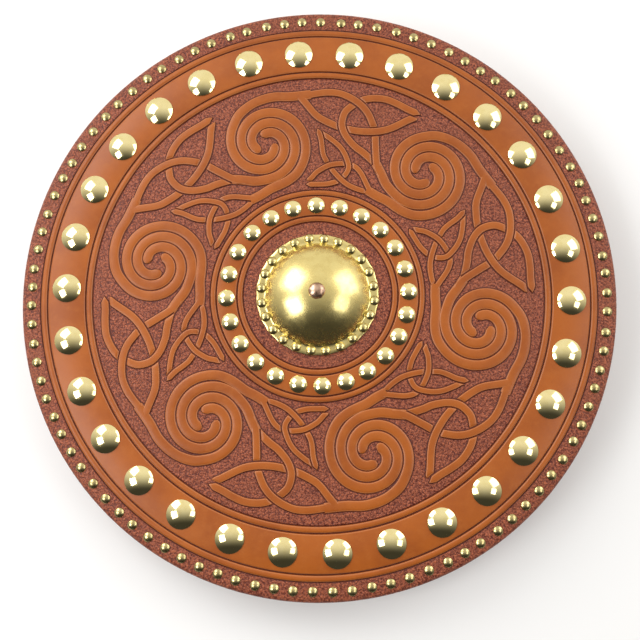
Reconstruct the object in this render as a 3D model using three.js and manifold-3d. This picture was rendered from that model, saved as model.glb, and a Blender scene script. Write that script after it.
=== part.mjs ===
// A round targe: a wooden board faced with tooled leather, brass studs and a domed brass boss.
// Millimetres, +Z up. The shield lies face up on its two back straps; the origin is on the
// ground under its centre, and the forearm that wears it would run along X.
import * as THREE from 'three';
import * as BufferGeometryUtils from 'three/addons/utils/BufferGeometryUtils.js';
import Module from 'manifold-3d';

const wasm = await Module();
wasm.setup();

// ---- driving dimensions -------------------------------------------------------------------
const SHIELD_RADIUS = 254;
const STRAP_DROP = 30; // how far the straps hang below the board's back
const BOARD_THICKNESS = 13;
const WRAP_THICKNESS = 3; // leather round the board's edge
const FACE_THICKNESS = 2.4; // leather on the face, at the matted ground
const HEM_THICKNESS = 2.4;
const HEM_WIDTH = 25.5;
const RELIEF = 1.2; // how far the tooled strands stand above the matted ground
const GAP = 0.3; // between pieces that touch
const SECTORS = 6; // the pattern repeats six times

// Two raised bands carry the studs. Each has a groove and a rounded bead along both its edges,
// at these distances beyond them.
const OUTER_BAND = { outer: 229, inner: 200.2, toGroove: 2, toBead: 5, toGround: 8 };
const INNER_BAND = { outer: 85, inner: 70, toGroove: 1.4, toBead: 4, toGround: 7 };

const LARGE_STUD = { radius: 12.2, height: 4.4, rings: 2, sides: 8 };
const LARGE_STUD_RING = { count: 30, radius: 214.6, firstAngle: -1.5 };
const INNER_STUD = { radius: 7.4, height: 3.4, rings: 2, sides: 6 };
const INNER_STUD_RING = { count: 24, radius: 77.6, firstAngle: 2.0, drift: 1.2, evenAt: 75 };
const RIM_NAIL = {
  count: 94, radius: 4.4, height: 2.3, ring: 244.9, firstAngle: 1.2, drift: 1.0, sides: 4,
};
const BOSS_NAIL = {
  count: 24, radius: 4.3, height: 2.6, ring: 48.6, firstAngle: 8.5, drift: 0, sides: 4,
};
const BOSS = { flangeRadius: 52.4, sheet: 1.3, domeRadius: 43.6, domeHeight: 20, footRise: 1 };
const RIVET = { radius: 7.3, height: 4.4, seatRadius: 7.6, rings: 3, sides: 8 };

const SPIRAL = { x: -45.5, y: 133.2, firstRadius: 6.6, growthPerTurn: 28.4, ridge: 8.6 };
const LARGE_STRAND = 7.2;
const SMALL_STRAND = 5.4;
const CROSSING_CUT = 1.2; // ground left between an over strand and the one that dives under it
const TIP_WIDTH = 0.15; // share of a strand's width left at its pointed tip

const ARM_STRAP = { x: 98, width: 55, middle: 50, rise: 22, foot: 26, tacks: 2 };
const HAND_GRIP = { x: -104, width: 30, middle: 40, rise: 18, foot: 20, tacks: 1 };
const STRAP_THICKNESS = 4;
const TACK = { radius: 5, height: 1.8, sides: 4, spread: 0.55, alongFoot: 0.6 };

const BACK_Z = STRAP_DROP;
const BOARD_TOP_Z = BACK_Z + BOARD_THICKNESS;
const LEATHER_UNDER_Z = BOARD_TOP_Z + GAP;
const GROUND_Z = LEATHER_UNDER_Z + FACE_THICKNESS;
const BAND_Z = GROUND_Z + RELIEF;
const BOARD_RADIUS = SHIELD_RADIUS - WRAP_THICKNESS - GAP;

// ---- materials ----------------------------------------------------------------------------
const tanLeather = new THREE.MeshStandardMaterial({ color: 0xb06a35, roughness: 0.5 });
const strapLeather = new THREE.MeshStandardMaterial({ color: 0x6b3f22, roughness: 0.65 });
const boardWood = new THREE.MeshStandardMaterial({ color: 0xa9824f, roughness: 0.75 });
const bossBrass = new THREE.MeshStandardMaterial({ color: 0xbfae63, roughness: 0.3, metalness: 1 });
const studBrass = new THREE.MeshStandardMaterial({ color: 0xe3d6a0, roughness: 0.2, metalness: 1 });
const rivetCopper = new THREE.MeshStandardMaterial({ color: 0xa97f62, roughness: 0.5, metalness: 1 });

const shield = new THREE.Group();

function addMesh(name, geometry, material, x = 0, y = 0, z = 0) {
  const mesh = new THREE.Mesh(geometry, material);
  mesh.name = name;
  mesh.position.set(x, y, z);
  shield.add(mesh);
  return mesh;
}

// ---- shape helpers ------------------------------------------------------------------------
const radians = THREE.MathUtils.degToRad;

// A solid of revolution about Z from a closed [radius, height] profile, walked so that its
// outer wall rises.
function turned(profile, sides) {
  const points = profile.map(([radius, height]) => new THREE.Vector2(radius, height));
  return new THREE.LatheGeometry(points, sides).rotateX(Math.PI / 2);
}

function toSolid(geometry) {
  const bare = geometry.clone();
  bare.deleteAttribute('normal');
  bare.deleteAttribute('uv');
  const merged = BufferGeometryUtils.mergeVertices(bare, 1e-4);
  const vertProperties = new Float32Array(merged.attributes.position.array);
  const triVerts = new Uint32Array(merged.index.array);
  return new wasm.Manifold(new wasm.Mesh({ numProp: 3, vertProperties, triVerts }));
}

function toGeometry(solid) {
  const mesh = solid.getMesh();
  const geometry = new THREE.BufferGeometry();
  geometry.setAttribute('position', new THREE.BufferAttribute(mesh.vertProperties, 3));
  geometry.setIndex(new THREE.BufferAttribute(mesh.triVerts, 1));
  geometry.computeVertexNormals();
  return geometry;
}

const join = (solids) => solids.reduce((whole, solid) => whole.add(solid));

// A low cone standing for a domed nail head, its rim sunk a little into what it is driven into.
function nailHead({ radius, height, sides }) {
  const sink = 0.4;
  const head = new THREE.ConeGeometry(radius, height + sink, sides).rotateX(Math.PI / 2);
  return head.translate(0, 0, (height - sink) / 2);
}

// A ring of nails spaced by eye: they sit closer together on one side than on the other.
function ringOfNails(nail, z) {
  const nails = [];
  for (let i = 0; i < nail.count; i++) {
    const even = (360 * i) / nail.count;
    const angle = radians(even + nail.firstAngle - nail.drift * Math.cos(radians(even)));
    nails.push(toSolid(nailHead(nail).translate(nail.ring, 0, z).rotateZ(angle)));
  }
  return join(nails);
}

// ---- the tooled pattern: strands drawn on the leather --------------------------------------
const points2 = (list) => list.map(([x, y]) => new THREE.Vector2(x, y));

// One arm of the triple spiral: it winds outward clockwise from its start angle, then follows
// the points that lead it away to a knot.
function spiralArm(startAngle, sweep, steps, exit) {
  const path = [];
  for (let i = 0; i <= steps; i++) {
    const wound = sweep * (i / steps) ** 0.8; // shorter turns as the radius grows
    const angle = radians(startAngle - wound);
    const radius = SPIRAL.firstRadius + (SPIRAL.growthPerTurn * wound) / 360;
    path.push([SPIRAL.x + radius * Math.cos(angle), SPIRAL.y + radius * Math.sin(angle)]);
  }
  return points2([...path, ...exit]);
}

// A smooth strand through a few chosen points, cut into even steps.
function smoothStrand(list, steps) {
  return new THREE.SplineCurve(points2(list)).getSpacedPoints(steps);
}

// A closed ridge along a path. Its section is a list of [side, height] pairs, with side from
// -1 to 1 across the strand, and its last stations narrow to a point where endWidths say so.
function ridge(path, width, section, endWidths = [1, 1]) {
  const positions = [];
  const last = path.length - 1;
  path.forEach((point, i) => {
    const along = path[Math.min(i + 1, last)].clone().sub(path[Math.max(i - 1, 0)]).normalize();
    const narrowing = i === 0 ? endWidths[0] : i === last ? endWidths[1] : 1;
    for (const [side, height] of section) {
      const offset = (side * narrowing * width) / 2;
      positions.push(point.x - along.y * offset, point.y + along.x * offset, height);
    }
  });
  const count = section.length;
  const index = [];
  for (let i = 0; i < last; i++) {
    for (let k = 0; k < count; k++) {
      const a = i * count + k;
      const b = i * count + ((k + 1) % count);
      index.push(a, b, a + count, b, b + count, a + count);
    }
  }
  for (let k = 1; k < count - 1; k++) {
    index.push(0, k + 1, k);
    index.push(last * count, last * count + k, last * count + k + 1);
  }
  const geometry = new THREE.BufferGeometry();
  geometry.setAttribute('position', new THREE.Float32BufferAttribute(positions, 3));
  geometry.setIndex(index);
  return toSolid(geometry);
}

const SINK = 0.5; // strands reach this far into the leather they stand on
const gable = [
  [1, GROUND_Z - SINK],
  [1, GROUND_Z],
  [0, BAND_Z],
  [-1, GROUND_Z],
  [-1, GROUND_Z - SINK],
];
const moatSection = [
  [1, GROUND_Z],
  [1, BAND_Z + 1],
  [-1, BAND_Z + 1],
  [-1, GROUND_Z],
];

// The space that an over strand clears for itself at a crossing: the stretch of its path that
// lies near the crossing, a little wider than the strand.
function moat(path, width, crossing) {
  const reach = 2.2 * width;
  const near = path.filter((point) => point.distanceTo(crossing) < reach);
  return ridge(near, width + 2 * CROSSING_CUT, moatSection);
}

// Three strands that pass over and under each other in turn. Each strand dives under the
// one named at its crossing.
function knot(strands, width) {
  const solids = strands.map(({ path, under, at, ends }) => {
    const over = strands.find((strand) => strand.name === under);
    const cleared = moat(over.path, width, new THREE.Vector2(...at));
    return ridge(path, width, gable, ends).subtract(cleared);
  });
  return join(solids);
}

const UPPER_FORK = [-12, 176]; // where a spiral's first arm splits into the large knot
const LOWER_FORK = [51.5, 113]; // where the large knot runs into the next spiral
const LARGE_TIP = [90, 158.2];

function largeKnot() {
  const outer = [
    UPPER_FORK, [0, 178.5], [10, 179.4], [20, 178.1], [30, 173.6], [38, 167.6], [44, 160],
    [48.2, 150], [50, 143.5], [50.4, 130], LOWER_FORK,
  ];
  const lower = [
    [-13, 174], [-3, 160.3], [4, 154.8], [20, 147.5], [40, 143.5], [60, 145], [80, 154], LARGE_TIP,
  ];
  const inner = [
    LARGE_TIP, [80, 162.8], [70, 168.3], [60, 172.5], [50, 173.7], [42, 172.8], [35, 170],
    [28, 165.2], [23.4, 160], [21.2, 150], [24.4, 140], [32.5, 130], [40, 124.2], LOWER_FORK,
  ];
  const plain = [1, 1];
  const endTip = [1, TIP_WIDTH];
  const startTip = [TIP_WIDTH, 1];
  const strands = [
    { name: 'outer', path: smoothStrand(outer, 8), under: 'lower', at: [49.5, 143.4], ends: plain },
    { name: 'lower', path: smoothStrand(lower, 7), under: 'inner', at: [21.2, 147], ends: endTip },
    { name: 'inner', path: smoothStrand(inner, 9), under: 'outer', at: [36, 170.4], ends: startTip },
  ];
  return knot(strands, LARGE_STRAND);
}

function smallKnot() {
  const topTip = [-0.3, 147.3];
  const leftTip = [-10.7, 96.5];
  const foot = [46, 89.6];
  const outer = [
    topTip, [4, 141.5], [10, 138], [19.5, 129.8], [25, 120], [26.8, 110], [20, 100.8],
    [10, 97], [0, 96.4], leftTip,
  ];
  const upright = [
    topTip, [3, 137], [4.2, 127], [6.2, 120], [14.3, 107.2], [25, 96.6], [37, 91], foot,
  ];
  const arch = [
    leftTip, [-5, 102.5], [0, 107.8], [10, 113.3], [20, 114.8], [27, 114.2], [33, 111.5],
    [38, 105.5], [43, 95], foot,
  ];
  const bothTips = [TIP_WIDTH, TIP_WIDTH];
  const tip = [TIP_WIDTH, 1];
  const strands = [
    { name: 'outer', path: smoothStrand(outer, 9), under: 'upright', at: [20.3, 100.8], ends: bothTips },
    { name: 'upright', path: smoothStrand(upright, 6), under: 'arch', at: [8.6, 113], ends: tip },
    { name: 'arch', path: smoothStrand(arch, 7), under: 'outer', at: [26.6, 114.2], ends: tip },
  ];
  return knot(strands, SMALL_STRAND);
}

function tripleSpiral() {
  const first = spiralArm(120, 330, 8, [[-68, 160.4], [-54, 171], [-38, 175.6], UPPER_FORK]);
  const second = spiralArm(240, 330, 8, [[-56, 99.6], [-74, 101.3]]);
  const third = spiralArm(360, 410, 11, [[-26, 99.6], [-41, 92.3], [-58, 82.4]]);
  return join([first, second, third].map((arm) => ridge(arm, SPIRAL.ridge, gable)));
}

function tooledPattern() {
  const sector = toGeometry(join([tripleSpiral(), largeKnot(), smallKnot()]));
  const sectors = [];
  for (let i = 0; i < SECTORS; i++) {
    sectors.push(toSolid(sector.clone().rotateZ(radians((360 * i) / SECTORS))));
  }
  return join(sectors);
}

// ---- the pieces ---------------------------------------------------------------------------
const ROUND_SIDES = 36;
const GROOVE_Z = GROUND_Z + 0.15;
const FLOOR_Z = GROUND_Z - 0.6; // the turned body lies below the flat ground let into it
const EDGE_ROUND = 2.8;
const HEM_ROUND = 2.5;

// The matted ground of the field and of the centre: one flat sheet whose corners lie hidden
// under the outer band.
function flatGround() {
  const thickness = 1.1;
  const corner = OUTER_BAND.outer - 1;
  const sheet = new THREE.CylinderGeometry(corner, corner, thickness, 6).rotateX(Math.PI / 2);
  return toSolid(sheet.translate(0, 0, GROUND_Z - thickness / 2));
}

// A band between its two beads, walked inwards across the face.
function bandProfile({ outer, inner, toGroove, toBead, toGround }, outerFootZ) {
  return [
    [outer + toGround, outerFootZ],
    [outer + toBead, BAND_Z],
    [outer + toGroove, GROOVE_Z],
    [outer, BAND_Z],
    [inner, BAND_Z],
    [inner - toGroove, GROOVE_Z],
    [inner - toBead, BAND_Z],
    [inner - toGround, FLOOR_Z],
  ];
}

function leatherCover() {
  const hemTopZ = BACK_Z - GAP;
  const hemLowZ = hemTopZ - HEM_THICKNESS;
  const pocketRadius = BOARD_RADIUS + GAP;
  const hemInner = SHIELD_RADIUS - HEM_WIDTH;
  const profile = [
    [0, LEATHER_UNDER_Z],
    [pocketRadius, LEATHER_UNDER_Z],
    [pocketRadius, hemTopZ],
    [hemInner, hemTopZ],
    [hemInner, hemLowZ],
    [SHIELD_RADIUS - HEM_ROUND, hemLowZ],
    [SHIELD_RADIUS, hemLowZ + HEM_ROUND],
    [SHIELD_RADIUS, GROUND_Z - EDGE_ROUND],
    [SHIELD_RADIUS - EDGE_ROUND, GROUND_Z],
    ...bandProfile(OUTER_BAND, GROUND_Z),
    ...bandProfile(INNER_BAND, FLOOR_Z),
    [0, FLOOR_Z],
  ];
  const body = toSolid(turned(profile, ROUND_SIDES));
  return toGeometry(join([body, flatGround(), tooledPattern(), ringOfNails(RIM_NAIL, GROUND_Z)]));
}

function woodenBoard() {
  const edge = 1.5;
  return turned([
    [0, BACK_Z],
    [BOARD_RADIUS - edge, BACK_Z],
    [BOARD_RADIUS, BACK_Z + edge],
    [BOARD_RADIUS, BOARD_TOP_Z],
    [0, BOARD_TOP_Z],
  ], ROUND_SIDES);
}

// A domed stud head: flat underneath, with an upright lip, then rising to the crown.
function studHead({ radius, height, rings, sides }) {
  const lip = 0.12 * height;
  const fullness = 2.2; // above 2, the dome is fuller than a parabola
  const profile = [[0, 0], [radius, 0]];
  for (let i = 1; i <= rings; i++) {
    const share = 1 - i / rings;
    profile.push([radius * share, lip + (height - lip) * (1 - share ** fullness)]);
  }
  return turned(profile, sides);
}

// The boss: a flat nailed flange and a round dome, cut flat at the crown to seat the rivet.
function brassBoss() {
  const { flangeRadius, sheet, domeRadius, domeHeight, footRise } = BOSS;
  const sphere = (domeRadius ** 2 + domeHeight ** 2) / (2 * domeHeight);
  const centreZ = sheet + footRise + domeHeight - sphere;
  const domeZ = (radius) => centreZ + Math.sqrt(sphere ** 2 - radius ** 2);
  const steps = 4;
  const sides = 24;
  const profile = [[0, 0], [flangeRadius, 0], [flangeRadius, sheet], [domeRadius + footRise, sheet]];
  for (let i = 0; i <= steps; i++) {
    const radius = domeRadius - ((domeRadius - RIVET.seatRadius) * i) / steps;
    profile.push([radius, domeZ(radius)]);
  }
  const seatZ = domeZ(RIVET.seatRadius);
  profile.push([0, seatZ]);
  const body = toSolid(turned(profile, sides));
  return { geometry: toGeometry(body.add(ringOfNails(BOSS_NAIL, sheet))), seatZ };
}

// A strap arched under the board: two feet flat on its back, and a flat middle that the shield
// lies on. The tacks that hold the feet are part of the same solid.
function backStrap({ width, middle, rise, foot, tacks }) {
  const top = STRAP_DROP - GAP;
  const under = top - STRAP_THICKNESS;
  const inset = 1.8; // keeps the strap about as thick on its slopes as on its flats
  const half = [
    [middle, 0],
    [middle + rise, under],
    [middle + rise + foot, under],
    [middle + rise + foot, top],
    [middle + rise - inset, top],
    [middle - inset, STRAP_THICKNESS],
  ];
  const mirrored = half.map(([y, z]) => [-y, z]).reverse();
  const outline = new THREE.Shape(points2([...half, ...mirrored]));
  const flat = new THREE.ExtrudeGeometry(outline, { depth: width, bevelEnabled: false });
  flat.translate(0, 0, -width / 2);
  flat.rotateX(Math.PI / 2).rotateZ(Math.PI / 2);
  const parts = [toSolid(flat)];
  const tackHead = nailHead(TACK).rotateX(Math.PI);
  const reach = middle + rise + foot * TACK.alongFoot;
  for (const y of [-reach, reach]) {
    for (let i = 0; i < tacks; i++) {
      const x = (i - (tacks - 1) / 2) * width * TACK.spread;
      parts.push(toSolid(tackHead.clone().translate(x, y, under)));
    }
  }
  return toGeometry(join(parts));
}

// ---- assembly -----------------------------------------------------------------------------
addMesh('wooden_board', woodenBoard(), boardWood);
addMesh('leather_cover', leatherCover(), tanLeather);

const boss = brassBoss();
const bossZ = GROUND_Z + GAP;
addMesh('brass_boss', boss.geometry, bossBrass, 0, 0, bossZ);
addMesh('boss_rivet', studHead(RIVET), rivetCopper, 0, 0, bossZ + boss.seatZ + GAP);

// One stud of a ring, standing on its band.
function addStud(name, head, ringRadius, degrees) {
  const x = ringRadius * Math.cos(radians(degrees));
  const y = ringRadius * Math.sin(radians(degrees));
  addMesh(name, head, studBrass, x, y, BAND_Z + GAP);
}

const numbered = (name, i) => `${name}_${String(i + 1).padStart(2, '0')}`;

const largeHead = studHead(LARGE_STUD);
for (let i = 0; i < LARGE_STUD_RING.count; i++) {
  const degrees = LARGE_STUD_RING.firstAngle + (360 * i) / LARGE_STUD_RING.count;
  addStud(numbered('large_stud', i), largeHead, LARGE_STUD_RING.radius, degrees);
}

// The inner studs were spaced by eye: the gaps between them drift round the ring.
const innerHead = studHead(INNER_STUD);
for (let i = 0; i < INNER_STUD_RING.count; i++) {
  const even = (360 * i) / INNER_STUD_RING.count;
  const drift = INNER_STUD_RING.drift * Math.cos(radians(even - INNER_STUD_RING.evenAt));
  const degrees = even + INNER_STUD_RING.firstAngle - drift;
  addStud(numbered('inner_stud', i), innerHead, INNER_STUD_RING.radius, degrees);
}

addMesh('arm_strap', backStrap(ARM_STRAP), strapLeather, ARM_STRAP.x, 0, 0);
addMesh('hand_grip', backStrap(HAND_GRIP), strapLeather, HAND_GRIP.x, 0, 0);

export default shield;
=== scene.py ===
# %% [markdown]
# # A targe with a tooled leather face
# A targe is a round wooden shield. Its face is covered with thick leather, which is wetted, cut
# and beaten down so that knots and spirals stand up from a matted ground, and it is studded with
# domed brass heads round a brass boss. The solids that hold its sizes come in as a fixed frame,
# and this lesson dresses each of them with a finer mesh and a worked-out finish.

# %% Load the frame
import math
import random

import bmesh
import bpy
from mathutils import Matrix, Vector, noise


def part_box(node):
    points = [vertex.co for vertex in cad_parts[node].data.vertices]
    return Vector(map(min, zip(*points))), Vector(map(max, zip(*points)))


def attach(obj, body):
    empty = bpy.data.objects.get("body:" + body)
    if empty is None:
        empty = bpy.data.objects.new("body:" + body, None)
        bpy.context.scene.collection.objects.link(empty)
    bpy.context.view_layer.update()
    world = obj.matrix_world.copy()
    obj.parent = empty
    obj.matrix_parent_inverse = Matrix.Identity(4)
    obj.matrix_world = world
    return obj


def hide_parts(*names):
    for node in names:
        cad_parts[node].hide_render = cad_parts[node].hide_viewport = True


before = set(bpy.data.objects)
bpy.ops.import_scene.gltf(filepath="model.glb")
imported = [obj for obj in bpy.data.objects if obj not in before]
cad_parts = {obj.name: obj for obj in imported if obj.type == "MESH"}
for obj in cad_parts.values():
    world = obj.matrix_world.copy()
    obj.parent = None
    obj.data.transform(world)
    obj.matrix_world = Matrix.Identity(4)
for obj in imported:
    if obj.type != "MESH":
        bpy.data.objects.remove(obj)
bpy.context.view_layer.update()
print("solids in the frame:", len(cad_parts))

# %% [markdown]
# ## Sizes
# Meshes are drawn in millimetres, which suit a craft piece, and shrunk to metres at the end. The
# heights come from the boxes of the solids: the board, then the leather on it, then what is
# tooled into the leather.

# %% Heights and radii in millimetres
MM = 0.001


def box_mm(node):
    low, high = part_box(node)
    return Vector(low) / MM, Vector(high) / MM


COVER_LOW, COVER_HIGH = box_mm("leather_cover")
BOARD_LOW, BOARD_HIGH = box_mm("wooden_board")
SHIELD_RADIUS = COVER_HIGH.x
BACK_Z = BOARD_LOW.z
GAP = 0.3  # between pieces that touch
FACE_THICKNESS = 2.4
LEATHER_UNDER_Z = BOARD_HIGH.z + GAP
GROUND_Z = LEATHER_UNDER_Z + FACE_THICKNESS
RELIEF = 1.2  # how far a strand stands above the matted ground
print("shield radius", round(SHIELD_RADIUS, 1), "ground of the face at", round(GROUND_Z, 2))

# %% [markdown]
# ## Small helpers for meshes
# Every piece ends the same way: doubles are merged, normals are recalculated so that faces
# point outwards, the mesh is shrunk to metres, and the object is tied to the frame.

# %% Finish a mesh and tie it to the frame
scene = bpy.context.scene
MERGE = 1e-4


def finish_piece(name, bm, material, nodes=(), crease=40):
    """Edges that turn by more than the crease, in degrees, stay sharp."""
    bmesh.ops.remove_doubles(bm, verts=bm.verts, dist=MERGE)
    bmesh.ops.recalc_face_normals(bm, faces=bm.faces)
    bmesh.ops.scale(bm, vec=(MM, MM, MM), verts=bm.verts)
    mesh = bpy.data.meshes.new(name)
    bm.to_mesh(mesh)
    bm.free()
    mesh.polygons.foreach_set("use_smooth", [True] * len(mesh.polygons))
    mesh.set_sharp_from_angle(angle=math.radians(crease))
    mesh.materials.append(material)
    piece = bpy.data.objects.new(name, mesh)
    scene.collection.objects.link(piece)
    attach(piece, "root")
    if nodes:
        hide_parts(*nodes)
    return piece


# %% Turn a profile on a lathe
def turn(bm, profile, steps, centre=(0, 0, 0)):
    """Spins (radius, height) points about a vertical axis and returns the new vertices."""
    before = set(bm.verts)
    verts = [bm.verts.new((radius, 0, height)) for radius, height in profile]
    edges = [bm.edges.new(pair) for pair in zip(verts, verts[1:])]
    bmesh.ops.spin(
        bm, geom=verts + edges, cent=(0, 0, 0), axis=(0, 0, 1),
        angle=math.tau, steps=steps, use_merge=True,
    )
    made = [v for v in bm.verts if v not in before]
    bmesh.ops.remove_doubles(bm, verts=made, dist=MERGE)
    made = [v for v in bm.verts if v not in before]
    bmesh.ops.translate(bm, vec=centre, verts=made)
    return made


def dome_profile(radius, height, lip, rings):
    """From the middle of a flat underside, out to the lip and up over a round dome."""
    ball = (radius ** 2 + (height - lip) ** 2) / (2 * (height - lip))
    points = [(0, 0), (radius, 0)]
    for i in range(rings + 1):
        r = radius * math.cos(math.pi / 2 * i / rings)
        points.append((r, lip + math.sqrt(max(ball ** 2 - r ** 2, 0)) - ball + height - lip))
    points[-1] = (0, height)
    return points


# %% [markdown]
# ## Small helpers for finishes
# A finish is a tree of shader nodes. Wrapping a socket in a class whose operators add Math
# nodes lets the tree be written as ordinary sums, and one method adds any other node.

# %% Shader sums
class Socket:
    def __init__(self, finish, socket):
        self.finish, self.socket = finish, socket

    def math(self, operation, *others):
        return self.finish.add("ShaderNodeMath", {"operation": operation}, [self, *others])

    def __add__(self, other):
        return self.math("ADD", other)

    def __sub__(self, other):
        return self.math("SUBTRACT", other)

    def __rsub__(self, other):
        return self.math("MULTIPLY", -1).math("ADD", other)

    def __mul__(self, other):
        return self.math("MULTIPLY", other)

    def __truediv__(self, other):
        return self.math("DIVIDE", other)

    __radd__ = __add__
    __rmul__ = __mul__

    def between(self, low, high, start=0.0, end=1.0):
        """Rises smoothly from start to end as the value goes from low to high."""
        settings = {"interpolation_type": "SMOOTHSTEP"}
        return self.finish.add("ShaderNodeMapRange", settings, [self, low, high, start, end])


class Finish:
    def __init__(self, name, roughness=0.5, metallic=0.0):
        self.material = bpy.data.materials.new(name)
        self.material.use_nodes = True
        self.tree = self.material.node_tree
        self.surface = self.tree.nodes["Principled BSDF"]
        self.place = self.add("ShaderNodeTexCoord", out="Object")
        self.set(Roughness=roughness, Metallic=metallic)

    def add(self, kind, settings=None, inputs=(), out=0):
        node = self.tree.nodes.new(kind)
        for key, value in (settings or {}).items():
            setattr(node, key, value)
        named = inputs.items() if isinstance(inputs, dict) else enumerate(inputs)
        for key, value in named:
            self.feed(node.inputs[key], value)
        return Socket(self, node.outputs[out])

    def feed(self, socket, value):
        if isinstance(value, Socket):
            self.tree.links.new(value.socket, socket)
        else:
            socket.default_value = value

    def set(self, **inputs):
        for key, value in inputs.items():
            self.feed(self.surface.inputs[key.replace("_", " ")], value)

    def noise(self, size_mm, detail=3.0, roughness=0.55, stretch=None, distortion=0.0):
        """Cloudy noise from 0 to 1 whose blobs are about size_mm across."""
        place = self.place
        if stretch:
            place = self.add("ShaderNodeMapping", inputs={"Vector": place, "Scale": stretch})
        inputs = {"Vector": place, "Scale": 1 / (size_mm * MM), "Detail": detail,
                  "Roughness": roughness, "Distortion": distortion}
        return self.add("ShaderNodeTexNoise", inputs=inputs)

    def mix(self, factor, first, second, blend="MIX"):
        settings = {"data_type": "RGBA", "blend_type": blend}
        colours = [c if isinstance(c, Socket) else (*c, 1) for c in (first, second)]
        inputs = {0: factor, 6: colours[0], 7: colours[1]}
        return self.add("ShaderNodeMix", settings, inputs, out=2)

    def bump(self, height_mm):
        """Raises the surface by a height in millimetres."""
        inputs = {"Height": height_mm, "Distance": MM, "Strength": 1.0}
        return self.add("ShaderNodeBump", inputs=inputs)


# %% [markdown]
# ## The tooled leather's finish
# The leather is dyed tan. On the strands it is burnished smooth, and down on the ground it was
# struck all over with a matting punch, which roughens it and drinks in a redder dye. Along each
# cut the dye gathers almost black. A pale line just inside each cut is a painted highlight on
# the strand's rounded shoulder. The matting's raised specks are painted pale pink as glints of
# sheen, and the pits between them nearly black. The mesh carries the distance to the nearest
# cut as an attribute, so all of that follows the drawing.

# %% Tooled leather
def tooled_leather():
    leather = Finish("tooled tan leather")
    cut = leather.add("ShaderNodeAttribute", {"attribute_name": "cut"}, out="Fac")
    raised = cut.between(-0.1, 0.25)
    line = 1 - (cut + 0.1).math("ABSOLUTE").between(0.25, 0.85)
    # Painted highlight: a pale band just inside each cut, where a strand's shoulder catches the
    # light.
    shoulder_highlight = 1 - (cut - 0.95).math("ABSOLUTE").between(0.1, 0.45)
    patches = leather.noise(38, detail=4)
    streaks = leather.noise(7, detail=5, roughness=0.65)
    grain = leather.noise(1.1, detail=4, roughness=0.6)
    matting = leather.noise(1.7, detail=2, roughness=0.6, distortion=0.8)
    pebbles = leather.add(
        "ShaderNodeTexVoronoi", {"feature": "F1"},
        {"Vector": leather.place, "Scale": 560.0, "Randomness": 1.0},
    )
    stipple = matting.between(0.38, 0.62) * 0.55 + (1 - pebbles.between(0.15, 0.65)) * 0.45

    tan = leather.mix(patches.between(0.3, 0.72), (0.37, 0.094, 0.010), (0.29, 0.068, 0.008))
    tan = leather.mix(streaks.between(0.45, 0.75) * 0.5, tan, (0.38, 0.108, 0.016))
    tan = leather.mix(grain.between(0.55, 0.8) * 0.3, tan, (0.20, 0.040, 0.006))
    # Painted highlight along the strands' shoulders, lightening the tan.
    tan = leather.mix(shoulder_highlight * 0.55, tan, (0.50, 0.20, 0.085))
    # Painted glints: the matting's raised specks turn pale pink as sheen, and its pits go nearly
    # black.
    ground = leather.mix(stipple, (0.08, 0.010, 0.005), (0.44, 0.122, 0.055))
    ground = leather.mix(patches.between(0.4, 0.75) * 0.3, ground, (0.24, 0.065, 0.022))
    colour = leather.mix(raised, ground, tan)
    colour = leather.mix(line * 0.9, colour, (0.065, 0.008, 0.005))

    height = raised * (grain * 0.04 + streaks * 0.05) + (1 - raised) * stipple * 0.42
    height = height - line * 0.2
    leather.set(
        Base_Color=colour,
        Roughness=(1 - raised) * 0.06 + streaks * 0.12 + 0.32,
        Specular_IOR_Level=0.35,
        Normal=leather.bump(height),
    )
    return leather.material


LEATHER = tooled_leather()
print("finish:", LEATHER.name)

# %% [markdown]
# ## Drawing the strands
# The pattern repeats six times. One sixth holds a spiral of three arms, a large three-cornered
# knot and a small one. Each strand is a line through a few chosen points, and the spiral's arms
# wind outwards evenly before they leave for a knot.

# %% Lines on the leather
SPIRAL_CENTRE = Vector((-45.5, 133.2))
FIRST_RADIUS = 6.6
GROWTH_PER_TURN = 28.4


def spiral_arm(start, sweep, leaving):
    """Winds clockwise from the start angle, then follows the points that lead to a knot."""
    line = []
    for wound in range(0, sweep + 1, 15):
        radius = FIRST_RADIUS + GROWTH_PER_TURN * wound / 360
        angle = math.radians(start - wound)
        line.append(SPIRAL_CENTRE + radius * Vector((math.cos(angle), math.sin(angle))))
    return line + [Vector(point) for point in leaving]


def smooth_line(points, spacing=0.5):
    """A Catmull-Rom curve through the points, as a dense polyline."""
    points = [Vector(p) for p in points]
    ends = [2 * points[0] - points[1], *points, 2 * points[-1] - points[-2]]
    line = []
    for a, b, c, d in zip(ends, ends[1:], ends[2:], ends[3:]):
        steps = max(2, round((c - b).length / spacing))
        for i in range(steps):
            t = i / steps
            line.append(0.5 * (2 * b + (c - a) * t + (2 * a - 5 * b + 4 * c - d) * t ** 2
                               + (3 * b - a - 3 * c + d) * t ** 3))
    return line + [points[-1]]


# %% [markdown]
# A strand has a width, the kinds of its two ends, and the name of the strand it dives under. Its
# ends are round where it starts inside a spiral, pointed at a free corner of a knot, and plain
# where another strand takes over.

# %% One sixth of the drawing
LOW_FORK = (51.5, 113)
LARGE_TIP = (90.4, 158.2)
TOP_TIP = (-0.3, 147.3)
LEFT_TIP = (-10.7, 96.5)
FOOT = (46, 89.6)
LARGE, SMALL, RIDGE = 7.2, 5.5, 9.2

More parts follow.
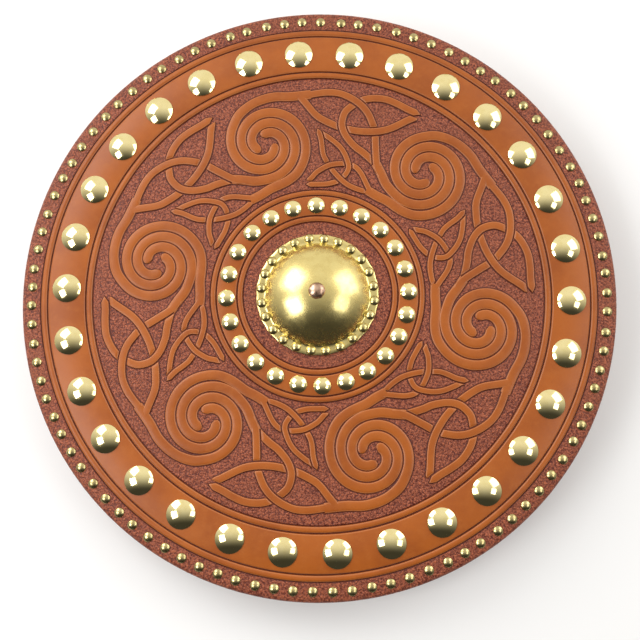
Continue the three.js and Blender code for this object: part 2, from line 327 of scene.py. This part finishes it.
STRANDS = {
    "first arm": (RIDGE, "round", "plain", None, spiral_arm(
        120, 330, [(-69, 159.2), (-60, 167.5), (-50, 172.6), (-38, 175.6), (-24, 175.8),
                   (-6, 177.6)])),
    "second arm": (RIDGE, "round", "plain", None, spiral_arm(
        240, 330, [(-54, 99.4), (-63, 100.4), (-74, 101.3)])),
    "third arm": (RIDGE, "round", "plain", None, spiral_arm(
        360, 410, [(-26, 99.6), (-33.5, 95.8), (-41, 92.3), (-49.2, 87), (-58, 82.4)])),
    "large outer": (LARGE, "plain", "plain", "large lower", [
        (-14, 175.9), (0, 178.5), (10, 179.4), (20, 178.1), (30, 173.6), (38, 167.6), (44, 160),
        (48.2, 150), (50, 143.5), (50.4, 130), LOW_FORK, (55.5, 104)]),
    "large lower": (LARGE, "plain", "point", "large inner", [
        (-17, 177.5), (-10, 169), (-3, 160.3), (4, 154.8), (20, 147.5), (40, 143.5),
        (60, 145), (80, 154), LARGE_TIP]),
    "large inner": (LARGE, "point", "plain", "large outer", [
        LARGE_TIP, (80, 162.8), (70, 168.3), (60, 172.5), (50, 173.7), (42, 172.8), (35, 170),
        (28, 165.2), (23.4, 160), (21.2, 150), (24.4, 140), (32.5, 130), (40, 124.2), LOW_FORK,
        (56, 106)]),
    "small outer": (SMALL, "point", "point", "small upright", [
        TOP_TIP, (4, 141.8), (10, 138), (19.5, 129.8), (25, 120), (26.8, 110), (20, 100.8),
        (10, 97), (0, 96.4), LEFT_TIP]),
    "small upright": (SMALL, "point", "plain", "small arch", [
        TOP_TIP, (3, 137), (4.2, 127), (6.2, 120), (14.3, 107.2), (25, 96.6), (37, 91), FOOT,
        (53, 86.5)]),
    "small arch": (SMALL, "point", "plain", "small outer", [
        LEFT_TIP, (-5, 102.5), (0, 107.8), (10, 113.3), (20, 114.8), (27, 114.2), (33, 111.5),
        (38, 105.5), (43, 95), FOOT, (52, 85.5)]),
}
LINES = {name: smooth_line(points) for name, (*_, points) in STRANDS.items()}
print("strands in one sixth:", len(STRANDS))

# %% [markdown]
# ## Raising the strands
# A strand's section is extruded from station to station along its line. It has a rounded crown,
# steep sides, and a thin skirt that meets the ground. Where it dives under another strand it
# sinks away as it comes close to it, so the upper strand keeps its own cut line.

# %% Width and sinking along a strand
POINT_LENGTH = 0.8  # of a strand's width
POINT_SHARE = 0.04  # of the width left at a point


def half_width(width, start, end, along, length):
    """Half the strand's width at a distance along it."""
    half = width / 2
    share = 1.0
    for kind, reach in ((start, along), (end, length - along)):
        if kind == "point":
            taper = min(1, reach / (POINT_LENGTH * width))
            share = min(share, POINT_SHARE + (1 - POINT_SHARE) * taper)
        if kind == "round":
            share = min(share, math.sqrt(max(0.01, 1 - max(0, 1 - reach / half) ** 2)))
    return half * share


def distance_to(line, point):
    return min((near - point).length for near in line)


def smoothstep(low, high, value):
    t = min(1, max(0, (value - low) / (high - low)))
    return t * t * (3 - 2 * t)


# %% The section: share of the half width, share of the height
CROWN = [(1.0, 0.1), (0.9, 0.55), (0.76, 0.86), (0.55, 0.97), (0.0, 1.0)]
ROUND_CROWN = [(1.0, 0.08), (0.86, 0.5), (0.66, 0.82), (0.38, 0.96), (0.0, 1.0)]
SKIRT = [(1.4, -0.12), (0.5, 0.02)]  # millimetres beyond the edge, and height
ROOT = -0.9
DIVE = -0.35  # where a strand lies as it passes under another
DIVE_START = 1.7  # how far from the upper strand it begins to sink
UNDERSIDE_CUT = -2


def section(point, side, half, crown, over, over_half, lift):
    """The points of one station, from the left root over the crown to the right root."""
    rising = [(half + out, z, -out) for out, z in SKIRT]
    rising += [(half * share, RELIEF * z * lift, half * (1 - share)) for share, z in crown]
    across = [(-d, z, cut) for d, z, cut in rising] + [(d, z, cut) for d, z, cut in rising[-2::-1]]
    places = []
    for d, z, cut in across:
        place = point + side * d
        if over:
            clear = distance_to(over, place) - over_half
            standing = smoothstep(-0.1, DIVE_START, clear)
            z = z * standing + DIVE * (1 - standing)
            cut = min(cut, clear - 0.1)
        places.append((Vector((*place, GROUND_Z + z)), cut))
    outer = half + SKIRT[0][0]
    for direction in (1, -1):
        root = point + side * direction * outer
        places.append((Vector((*root, GROUND_Z + ROOT)), UNDERSIDE_CUT))
    return places


# %% Extrude a strand along its line
COARSE_STEP, FINE_STEP = 2.3, 0.9
CROSSING_REACH = 4.5
TIP_REACH = 6
WIDTH_WOBBLE, HEIGHT_WOBBLE = 0.03, 0.06


def raise_strand(bm, cut_layer, name):
    width, start, end, under, _ = STRANDS[name]
    line = LINES[name]
    lengths = [0.0]
    for a, b in zip(line, line[1:]):
        lengths.append(lengths[-1] + (b - a).length)
    crown = ROUND_CROWN if "arm" in name else CROWN
    over_line = LINES[under] if under else None
    over_half = STRANDS[under][0] / 2 if under else 0
    ring = None
    last = -math.inf
    for i, (point, along) in enumerate(zip(line, lengths)):
        close = bool(under) and distance_to(over_line, point) < over_half + CROSSING_REACH
        tip = min(along, lengths[-1] - along) < TIP_REACH
        spacing = FINE_STEP if close or tip else COARSE_STEP
        if along - last < spacing and i < len(line) - 1:
            continue
        last = along
        ahead = line[min(i + 1, len(line) - 1)] - line[max(i - 1, 0)]
        side = Vector((-ahead.y, ahead.x)).normalized()
        half = half_width(width, start, end, along, lengths[-1])
        half *= 1 + WIDTH_WOBBLE * noise.noise(Vector((*point, 3)) * 0.09)
        lift = min(1, 0.25 + half / 2.4)
        lift *= 1 + HEIGHT_WOBBLE * noise.noise(Vector((*point, 7)) * 0.06)
        places = section(point, side, half, crown, over_line if close else None, over_half, lift)
        if ring is None:
            ring = [bm.verts.new(place) for place, _ in places]
            bm.faces.new(ring)
            loop = [bm.edges.get((a, b)) for a, b in zip(ring, ring[1:] + ring[:1])]
        else:
            grown = bmesh.ops.extrude_edge_only(bm, edges=loop)["geom"]
            new = [g for g in grown if isinstance(g, bmesh.types.BMVert)]
            grown_from = {}
            for v in new:
                old = next(e.other_vert(v) for e in v.link_edges if e.other_vert(v) not in new)
                grown_from[old] = v
            ring = [grown_from[v] for v in ring]
            loop = [bm.edges.get((a, b)) for a, b in zip(ring, ring[1:] + ring[:1])]
            for v, (place, _) in zip(ring, places):
                v.co = place
        for v, (_, cut) in zip(ring, places):
            v[cut_layer] = cut
    bm.faces.new(ring)


# %% [markdown]
# ## The leather cover
# The leather itself is one turned shape: flat under the studs, with ridged rings either side of
# each stud band, and wrapped over the board's edge to a hem at the back. The strands are raised
# on it and turned into place six times.

# %% Rings tooled into the face: inner and outer radius, and rounding
RINGS = [(63.4, 68.5, 1.9), (68.7, 86.3, 1.5), (86.5, 91.6, 1.9),
         (192.3, 198.1, 2.1), (198.3, 230.9, 1.7), (231.1, 237.0, 2.1)]
GROOVE = 0.4
RING_FOOT = [(0.5, -0.1, -0.5), (1.2, 0, -1.2)]  # beyond a ring: distance, height, cut
FIELD_STEPS = 12


def ring_section(inner, outer, rounding):
    """Radius, height and distance to the cut across one raised ring."""
    rising = []
    for share in (0, 0.14, 0.3, 0.5, 0.75, 1.0):
        climb = math.sin(share * math.pi / 2)
        rising.append((rounding * share, (RELIEF + GROOVE) * climb - GROOVE))
    left = [(inner + d, z, d) for d, z in rising]
    right = [(outer - d, z, d) for d, z in reversed(rising)]
    return left + right


def face_section():
    """The whole face from the middle out to the rounded edge."""
    points = [(0, 0, -20), (30, 0, -20), (60, 0, -3)]
    for inner, outer, rounding in RINGS:
        last = points[-1][0]
        if inner - last > 50:  # the wide field of the pattern
            points += [(last + d, z, cut) for d, z, cut in RING_FOOT]
            start = points[-1][0]
            reach = inner - start
            points += [(start + reach * k / FIELD_STEPS, 0, -4) for k in range(1, FIELD_STEPS)]
        if inner - last > 3:  # neighbouring rings share one cut
            points += [(inner - d, z, cut) for d, z, cut in reversed(RING_FOOT)]
        points += ring_section(inner, outer, rounding)
    last = points[-1][0]
    points += [(last + d, z, cut) for d, z, cut in RING_FOOT]
    points += [(241, 0, -4), (245, 0, -4), (248.5, 0, -3)]
    points += [(250.2, -0.1, -1.2), (251.3, -0.35, -1), (252.5, -1.0, -0.9), (253.4, -2.0, -0.9),
               (253.9, -3.3, -0.9), (SHIELD_RADIUS, -5.0, -0.9)]
    return points


HEM_WIDTH = 25.5


def wrap_section():
    """From the edge down to the hem, back under the board, and up inside to the middle."""
    hem_top = BACK_Z - GAP
    hem_low = COVER_LOW.z
    pocket = BOARD_HIGH.x + GAP
    hem_inner = SHIELD_RADIUS - HEM_WIDTH
    edge = SHIELD_RADIUS
    return [(edge, hem_low + 4.4), (edge - 0.3, hem_low + 2.6), (edge - 1.1, hem_low + 1.1),
            (edge - 2.4, hem_low + 0.25), (edge - 4, hem_low), (hem_inner + 8, hem_low),
            (hem_inner + 0.6, hem_low), (hem_inner, hem_low + 0.7), (hem_inner, hem_top),
            (pocket, hem_top), (pocket, LEATHER_UNDER_Z), (0, LEATHER_UNDER_Z)]


# %% Make the cover
SIXTHS = 6
COVER_STEPS = 300
FACE_DEPTH = 4  # below this the leather is edge and back, and carries no cut
PLAIN_CUT = 3


def leather_cover():
    bm = bmesh.new()
    cut_layer = bm.verts.layers.float.new("cut")
    face = face_section()
    wrap = wrap_section()
    turn(bm, [(r, GROUND_Z + z) for r, z, _ in face] + wrap, COVER_STEPS)
    radii = [r for r, _, _ in face]
    cuts = [c for _, _, c in face]
    for v in bm.verts:
        radius = math.hypot(v.co.x, v.co.y)
        nearest = min(range(len(radii)), key=lambda i: abs(radii[i] - radius))
        on_face = v.co.z > GROUND_Z - FACE_DEPTH and radius > 0
        v[cut_layer] = cuts[nearest] if on_face else PLAIN_CUT
    sixth = bmesh.new()
    sixth_cut = sixth.verts.layers.float.new("cut")
    for name in STRANDS:
        raise_strand(sixth, sixth_cut, name)
    strands = bpy.data.meshes.new("strands")
    step = Matrix.Rotation(math.radians(360 / SIXTHS), 3, "Z")
    for _ in range(SIXTHS):
        bmesh.ops.rotate(sixth, cent=(0, 0, 0), matrix=step, verts=sixth.verts)
        sixth.to_mesh(strands)
        bm.from_mesh(strands)
    sixth.free()
    bpy.data.meshes.remove(strands)
    return finish_piece(
        "tooled_leather_cover", bm, LEATHER, ["leather_cover"], crease=60)


cover = leather_cover()
cover.data.calc_loop_triangles()
print("leather cover triangles:", len(cover.data.loop_triangles))

# %% [markdown]
# ## Brass
# Five finishes come from one recipe: brass is a metal whose colour is its reflection, so what
# changes from one to the next is the polish, the cloudy tarnish, and how dented the metal is.

# %% Brass finishes
def brass(name, bright, dull, roughness, tarnish, dents=0.0):
    metal = Finish(name, metallic=1.0)
    cloud = metal.noise(6, detail=4)
    fine = metal.noise(0.8, detail=3)
    worn = cloud.between(0.35, 0.7)
    metal.set(
        Base_Color=metal.mix(worn * tarnish, bright, dull),
        Roughness=worn * 0.06 + fine * 0.06 + roughness,
    )
    if dents:
        metal.set(Normal=metal.bump(metal.noise(9, detail=1) * dents * 4))
    return metal.material


POLISHED = brass("polished stud brass", (0.90, 0.78, 0.40), (0.80, 0.66, 0.28), 0.05, 0.5)
ANTIQUE = brass("antique nail brass", (0.54, 0.45, 0.21), (0.34, 0.27, 0.11), 0.20, 0.7)
NAIL = brass("boss nail brass", (0.62, 0.52, 0.24), (0.42, 0.34, 0.13), 0.18, 0.7)
SATIN = brass("satin boss brass", (0.80, 0.66, 0.27), (0.66, 0.52, 0.19), 0.20, 0.6, 0.03)
COPPER = brass("coppery rivet", (0.62, 0.42, 0.30), (0.22, 0.12, 0.07), 0.30, 0.9, 0.12)

# %% [markdown]
# ## Studs and nails
# Every head is a low dome turned on a lathe. The large ones and the inner ones replace their own
# solids one by one. The nails round the rim are one piece, because they are the same solid as
# the leather in the frame.

# %% Large and inner studs
LARGE_STUDS, INNER_STUDS = 30, 24
STUD_SINK = 0.2  # how far a head is driven into the leather


def stud(node, name, radius, height, steps):
    low, high = box_mm(node)
    centre = ((low.x + high.x) / 2, (low.y + high.y) / 2, low.z - STUD_SINK)
    bm = bmesh.new()
    turn(bm, dome_profile(radius, height, lip=0.5, rings=10), steps, centre)
    finish_piece(name, bm, POLISHED, [node], crease=50)


for i in range(1, LARGE_STUDS + 1):
    stud(f"large_stud_{i:02d}", f"domed_stud_{i:02d}", radius=12.1, height=4.4, steps=40)
for i in range(1, INNER_STUDS + 1):
    stud(f"inner_stud_{i:02d}", f"ring_stud_{i:02d}", radius=7.35, height=3.4, steps=32)


# %% Nails in a ring, each set a little differently
NAIL_SINK = 0.25


def nail_ring(name, count, radius, first, drift, head, height, base, seed, material):
    chance = random.Random(seed)
    bm = bmesh.new()
    for i in range(count):
        even = 360 * i / count
        angle = first + even - drift * math.cos(math.radians(even)) + chance.uniform(-0.2, 0.2)
        angle = math.radians(angle)
        ring = radius + chance.uniform(-0.4, 0.4)
        made = turn(bm, dome_profile(head, height, lip=0.5, rings=4), 14)
        lean = Matrix.Rotation(math.radians(chance.uniform(-5, 5)), 3, "X")
        bmesh.ops.rotate(bm, cent=(0, 0, 0), matrix=lean, verts=made)
        place = (ring * math.cos(angle), ring * math.sin(angle), base - NAIL_SINK)
        bmesh.ops.translate(bm, vec=place, verts=made)
    finish_piece(name, bm, material, crease=50)


nail_ring("rim_nails", count=94, radius=244.7, first=1.2, drift=1.0, head=4.2, height=2.3,
          base=GROUND_Z, seed=5, material=ANTIQUE)
print("studs and rim nails made")

# %% [markdown]
# ## The boss
# The boss is raised from sheet brass by hammering it over a hollow. Its flange is trimmed by eye
# to a wavy edge and nailed down, and the nails pucker the metal at the foot of the dome.

# %% Boss
BOSS_LOW, _ = box_mm("brass_boss")
BOSS_NAILS, FIRST_BOSS_NAIL = 24, 8.5
SHEET = 1.3
DOME_STEPS = 24


def boss_profile():
    """Up round the flange and over the dome, whose foot stands 1 mm above the sheet."""
    sheet, foot, dome, crown = SHEET, 43.6, 20.0, 0.2
    top = sheet + 1 + dome
    ball = (foot ** 2 + dome ** 2) / (2 * dome)
    points = [(0, 0), (50, 0), (52.2, 0.2), (52.3, sheet - 0.3), (51.9, sheet), (49, sheet),
              (46.5, sheet), (45.2, sheet + 0.05), (44.3, sheet + 0.35)]
    for i in range(DOME_STEPS):
        radius = foot * (1 - i / DOME_STEPS)
        points.append((radius, top - ball + math.sqrt(ball ** 2 - radius ** 2)))
    return points + [(crown, top), (0, top)]


def brass_boss():
    bm = bmesh.new()
    made = turn(bm, boss_profile(), 192)
    for v in made:
        radius = math.hypot(v.co.x, v.co.y)
        angle = math.atan2(v.co.y, v.co.x)
        if radius > 47:
            wave = 0.5 + 0.5 * math.cos(BOSS_NAILS * (angle - math.radians(FIRST_BOSS_NAIL)))
            trim = 1 - 0.012 * (1 - wave) * smoothstep(47, 52, radius)
            v.co.x *= trim
            v.co.y *= trim
        pucker = smoothstep(36, 43, radius) * (1 - smoothstep(44, 47.5, radius))
        dent = noise.noise(Vector((math.cos(angle) * 9, math.sin(angle) * 9, radius * 0.12)))
        v.co.z += pucker * 0.8 * dent if v.co.z > 0.5 else 0
    bmesh.ops.translate(bm, vec=(0, 0, BOSS_LOW.z), verts=bm.verts)
    finish_piece("domed_boss", bm, SATIN, ["brass_boss"], crease=55)


brass_boss()
nail_ring("boss_nails", count=BOSS_NAILS, radius=48.3, first=FIRST_BOSS_NAIL, drift=0, head=4.3,
          height=2.6, base=BOSS_LOW.z + SHEET, seed=9, material=NAIL)


# %% Rivet at the crown
def rivet():
    low, _ = box_mm("boss_rivet")
    bm = bmesh.new()
    bmesh.ops.create_icosphere(bm, subdivisions=4, radius=1)
    for v in bm.verts:
        rough = 1 + 0.05 * noise.noise(v.co * 2.3) + 0.04 * noise.noise(v.co * 6)
        v.co = Vector((v.co.x * 7.0, v.co.y * 6.8, max(v.co.z, -0.15) * 4.0)) * rough
    bmesh.ops.translate(bm, vec=(0, 0, low.z + 0.4), verts=bm.verts)
    finish_piece("crown_rivet", bm, COPPER, ["boss_rivet"], crease=60)


rivet()
print("boss and rivet made")

# %% [markdown]
# ## The board
# The back is plain and meant to be out of sight: pine planks glued edge to edge, their grain
# running across the shield. The grain is noise stretched along the planks, and each plank gets
# its own tint from a coarse step across them.

# %% Pine planks
PLANK_WIDTH = 0.085  # metres, as the finish reads them


def pine():
    wood = Finish("pine planks")
    grain = wood.noise(7, detail=5, stretch=(0.05, 1.0, 1.0), distortion=0.6)
    fibre = wood.noise(1.2, detail=3, stretch=(0.03, 1.0, 1.0))
    across = wood.add("ShaderNodeSeparateXYZ", inputs=[wood.place], out="Y") / PLANK_WIDTH
    tint = wood.add("ShaderNodeTexWhiteNoise", {"noise_dimensions": "1D"},
                    {"W": across.math("FLOOR")})
    joint = 1 - (across.math("FRACT") - 0.5).math("ABSOLUTE").between(0.5, 0.485)
    colour = wood.mix(grain.between(0.35, 0.7), (0.46, 0.27, 0.12), (0.27, 0.13, 0.05))
    colour = wood.mix(fibre.between(0.5, 0.8) * 0.4, colour, (0.20, 0.10, 0.04))
    colour = wood.mix(tint * 0.35, colour, (0.34, 0.17, 0.07))
    colour = wood.mix(joint * 0.8, colour, (0.06, 0.03, 0.012))
    wood.set(
        Base_Color=colour,
        Roughness=fibre * 0.2 + 0.5,
        Normal=wood.bump(grain * 0.15 + fibre * 0.12 - joint * 0.4),
    )
    return wood.material


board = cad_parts["wooden_board"]
board.data.materials.clear()
board.data.materials.append(pine())

# %% [markdown]
# ## Straps
# The forearm goes through the wide strap and the hand takes the narrow one. Both are harness
# leather, arched under the board and tacked down at their feet. A strap is the line of its
# underside bent smoothly, given its width and thickness, with rounded edges and a row of
# stitches along each side.

# %% Harness leather and thread
def harness():
    strap = Finish("harness leather")
    cloud = strap.noise(14, detail=4)
    pores = strap.noise(0.9, detail=3)
    crease = strap.noise(5, detail=4, stretch=(0.25, 1.0, 1.0))
    colour = strap.mix(cloud.between(0.3, 0.7), (0.17, 0.065, 0.022), (0.10, 0.036, 0.013))
    colour = strap.mix(crease.between(0.55, 0.8) * 0.5, colour, (0.06, 0.022, 0.01))
    strap.set(
        Base_Color=colour,
        Roughness=cloud * 0.15 + 0.4,
        Normal=strap.bump(pores * 0.12 + crease * 0.3),
    )
    return strap.material


def linen():
    thread = Finish("waxed linen thread", roughness=0.75)
    twist = thread.noise(0.6, detail=2)
    thread.set(Base_Color=thread.mix(twist, (0.55, 0.43, 0.26), (0.33, 0.24, 0.13)))
    return thread.material


HARNESS = harness()
THREAD = linen()


# %% Bend a strap
STRAP_THICKNESS = 3.9
EDGE_ANGLE = 1.2  # radians; sharper edges than this are rounded over


def strap_line(reach, foot, top):
    """Points (along, height) of the strap's middle layer, from one foot to the other."""
    middle, rise = reach
    low, high = 2.0, top - 2.3
    half = []
    for i in range(5):
        half.append((middle * i / 5, low))
    for i in range(13):
        t = i / 12
        half.append((middle - 3 + (rise + 6) * t, low + (high - low) * smoothstep(0, 1, t)))
    half += [(middle + rise + 3 + (foot - 5) * i / 4, high) for i in range(1, 5)]
    return [(-y, z) for y, z in reversed(half[1:])] + half


def strap(node, name, reach, foot):
    low, high = box_mm(node)
    centre, width = (low.x + high.x) / 2, high.x - low.x
    line = strap_line(reach, foot, high.z)
    bm = bmesh.new()
    left = [bm.verts.new((centre - width / 2 + 0.1, y, z - STRAP_THICKNESS / 2))
            for y, z in line]
    edges = [bm.edges.new(pair) for pair in zip(left, left[1:])]
    wide = bmesh.ops.extrude_edge_only(bm, edges=edges)["geom"]
    far = [g for g in wide if isinstance(g, bmesh.types.BMVert)]
    bmesh.ops.translate(bm, vec=(width - 0.2, 0, 0), verts=far)
    bmesh.ops.recalc_face_normals(bm, faces=bm.faces)
    thick = bmesh.ops.extrude_face_region(bm, geom=list(bm.faces))["geom"]
    raised = [g for g in thick if isinstance(g, bmesh.types.BMVert)]
    bmesh.ops.translate(bm, vec=(0, 0, STRAP_THICKNESS), verts=raised)
    bmesh.ops.recalc_face_normals(bm, faces=bm.faces)
    rim = [e for e in bm.edges if len(e.link_faces) == 2 and e.calc_face_angle(0) > EDGE_ANGLE]
    bmesh.ops.bevel(bm, geom=rim, offset=0.9, segments=3, profile=0.5, affect="EDGES", material=-1)
    finish_piece(name, bm, HARNESS, [node], crease=45)
    return line, centre, width


# %% Stitches and tacks on a strap
STITCH_PITCH = 5.5
STITCH_MARGIN = 4  # from the strap's edge
STITCH_DEPTH = 1.58  # below the strap's middle layer
TACK_SPREAD = 0.55  # of the strap's width
TACK_ALONG_FOOT = 0.6  # of the foot's length
FOOT_UNDER_Z = 25.7


def stitches(name, line, centre, width):
    bm = bmesh.new()
    for (ya, za), (yb, zb) in zip(line, line[1:]):
        pieces = max(1, round(math.hypot(yb - ya, zb - za) / STITCH_PITCH))
        for i in range(pieces):
            t = (i + 0.5) / pieces
            y, z = ya + (yb - ya) * t, za + (zb - za) * t
            slope = math.atan2(zb - za, yb - ya)
            for side in (-1, 1):
                made = bmesh.ops.create_uvsphere(
                    bm, u_segments=6, v_segments=4, radius=1)["verts"]
                bmesh.ops.scale(bm, vec=(0.5, 1.9, 0.42), verts=made)
                bmesh.ops.rotate(bm, cent=(0, 0, 0), verts=made,
                                 matrix=Matrix.Rotation(slope, 3, "X"))
                place = (centre + side * (width / 2 - STITCH_MARGIN), y, z - STITCH_DEPTH)
                bmesh.ops.translate(bm, vec=place, verts=made)
    finish_piece(name, bm, THREAD)


def tacks(name, centre, spread, reach, count):
    bm = bmesh.new()
    for side in (-1, 1):
        for i in range(count):
            made = turn(bm, dome_profile(5.0, 1.7, lip=0.3, rings=5), 20)
            bmesh.ops.rotate(bm, cent=(0, 0, 0), verts=made,
                             matrix=Matrix.Rotation(math.pi, 3, "X"))
            x = centre + (i - (count - 1) / 2) * spread
            bmesh.ops.translate(bm, vec=(x, side * reach, FOOT_UNDER_Z + 0.2), verts=made)
    finish_piece(name, bm, ANTIQUE, crease=50)


def back_strap(node, middle, rise, foot, tack_count):
    """A strap with its stitches and its tacks, all named after its solid."""
    line, centre, width = strap(node, f"{node}_leather", (middle, rise), foot)
    stitches(f"{node}_stitches", line, centre, width)
    reach = middle + rise + foot * TACK_ALONG_FOOT
    tacks(f"{node}_tacks", centre, width * TACK_SPREAD, reach, tack_count)


back_strap("arm_strap", middle=50, rise=22, foot=26, tack_count=2)
back_strap("hand_grip", middle=40, rise=18, foot=20, tack_count=1)

# %% [markdown]
# The leather of the face is turned over the board's edge, and its hem is held at the back by a
# ring of small tacks.

# %% Hem tacks
HEM_TACKS = 48
HEM_RING = 238


def hem_tacks():
    bm = bmesh.new()
    chance = random.Random(12)
    for i in range(HEM_TACKS):
        made = turn(bm, dome_profile(3.2, 1.4, lip=0.3, rings=4), 12)
        bmesh.ops.rotate(bm, cent=(0, 0, 0), verts=made, matrix=Matrix.Rotation(math.pi, 3, "X"))
        angle = math.tau * i / HEM_TACKS + chance.uniform(-0.01, 0.01)
        radius = HEM_RING + chance.uniform(-1, 1)
        place = (radius * math.cos(angle), radius * math.sin(angle), COVER_LOW.z + 0.2)
        bmesh.ops.translate(bm, vec=place, verts=made)
    finish_piece("hem_tacks", bm, ANTIQUE, crease=50)


hem_tacks()
print("board, straps and hem made")

# %% [markdown]
# ## Studio
# A pale floor, a pale room, and four soft boxes round the camera: two on each side, whose
# reflections sit on every dome.

# %% Floor, lights and camera
FLOOR_REACH = 3  # metres


def floor():
    bm = bmesh.new()
    bmesh.ops.create_grid(bm, x_segments=1, y_segments=1, size=FLOOR_REACH)
    mesh = bpy.data.meshes.new("floor")
    bm.to_mesh(mesh)
    bm.free()
    paper = Finish("white paper floor", roughness=0.9)
    paper.set(Base_Color=(0.86, 0.86, 0.86, 1))
    mesh.materials.append(paper.material)
    plane = bpy.data.objects.new("floor", mesh)
    scene.collection.objects.link(plane)


floor()


BOX_AIM = Vector((0, 0, 0.04))


def soft_box(name, toward, distance, across, power):
    """A square soft box seen from the shield in the given direction, in metres and watts."""
    lamp = bpy.data.lights.new(name, "AREA")
    lamp.shape = "RECTANGLE"
    lamp.size = lamp.size_y = across
    lamp.energy = power
    box = bpy.data.objects.new(name, lamp)
    box.location = Vector(toward).normalized() * distance
    box.rotation_euler = (BOX_AIM - box.location).to_track_quat("-Z", "Y").to_euler()
    scene.collection.objects.link(box)


soft_box("upper left box", (-0.63, 0.45, 0.64), distance=1.2, across=0.68, power=6.5)
soft_box("upper right box", (0.74, 0.37, 0.56), distance=1.5, across=0.90, power=6.5)
soft_box("lower left box", (-0.64, -0.25, 0.73), distance=1.2, across=0.52, power=5.5)
soft_box("lower right box", (0.66, -0.20, 0.72), distance=1.5, across=0.55, power=3)


def pale_room():
    """A room that is pale behind the shield and dim on the camera's side."""
    world = bpy.data.worlds.new("pale room")
    world.use_nodes = True
    nodes, links = world.node_tree.nodes, world.node_tree.links
    direction = nodes.new("ShaderNodeTexCoord").outputs["Generated"]
    split = nodes.new("ShaderNodeSeparateXYZ")
    wall = nodes.new("ShaderNodeMapRange")
    wall.interpolation_type = "SMOOTHSTEP"
    wall.inputs["From Min"].default_value = -0.75
    wall.inputs["From Max"].default_value = 0.65
    wall.inputs["To Min"].default_value = 0.05
    wall.inputs["To Max"].default_value = 1.0
    links.new(direction, split.inputs[0])
    links.new(split.outputs["Y"], wall.inputs[0])
    background = nodes["Background"]
    background.inputs["Color"].default_value = (1.0, 0.97, 0.92, 1)
    links.new(wall.outputs[0], background.inputs["Strength"])
    scene.world = world


pale_room()
scene.view_settings.view_transform = "Standard"

ELEVATION, AZIMUTH, ROLL = 83.55, 9.4, -9.39  # degrees
DISTANCE = 0.6
LOOK_AT = Vector((2.27, -21.75, GROUND_Z)) * MM
SENSOR_WIDTH = 36
FOCAL_WIDTHS = 1.10546875  # focal length in sensor widths


def steep_camera():
    """Looks almost straight down on the face."""
    lens = bpy.data.cameras.new("camera")
    lens.sensor_width = SENSOR_WIDTH
    lens.lens = SENSOR_WIDTH * FOCAL_WIDTHS
    eye = bpy.data.objects.new("camera", lens)
    up, turned = math.radians(ELEVATION), math.radians(AZIMUTH)
    away = Vector((math.sin(turned) * math.cos(up), -math.cos(turned) * math.cos(up), math.sin(up)))
    eye.location = LOOK_AT + away * DISTANCE
    level = (-away).to_track_quat("-Z", "Y").to_matrix()
    eye.rotation_euler = (level @ Matrix.Rotation(math.radians(ROLL), 3, "Z")).to_euler()
    scene.collection.objects.link(eye)
    scene.camera = eye


steep_camera()
